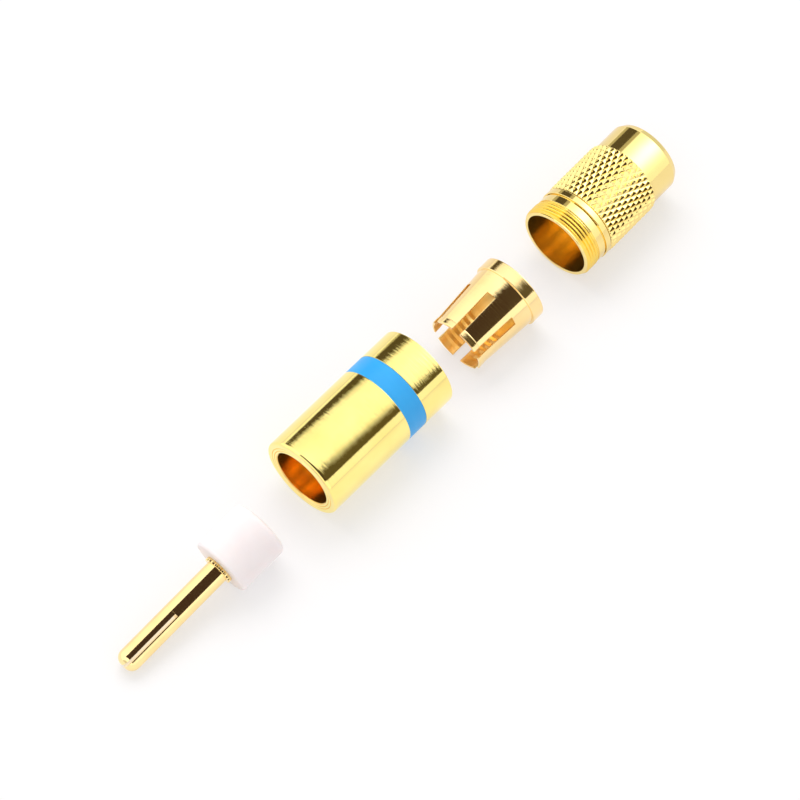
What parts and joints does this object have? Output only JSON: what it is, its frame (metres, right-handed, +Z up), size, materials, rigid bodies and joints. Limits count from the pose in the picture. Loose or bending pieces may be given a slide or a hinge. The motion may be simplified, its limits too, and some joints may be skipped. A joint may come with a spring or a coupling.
{
  "type": "phono plug",
  "caption": "Screw-together coaxial audio plug, taken apart and laid in line: split pin in its insulator, banded barrel, slotted collet and knurled sleeve.",
  "frame": {"origin": "on the floor, under the middle of the laid-out row", "axes": "+X along the row from the pin's tip to the sleeve's cable end, +Z up from the floor"},
  "size_m": [0.0991, 0.0132, 0.0118],
  "materials": {
    "gold_plate": "polished",
    "insulator": "satin",
    "band": "gloss"
  },
  "bodies": {
    "root": {"centre_pin": "gold_plate", "insulator": "insulator", "barrel": "gold_plate", "colour_band": "band", "collet": "gold_plate", "sleeve": "gold_plate"}
  },
  "joints": []
}
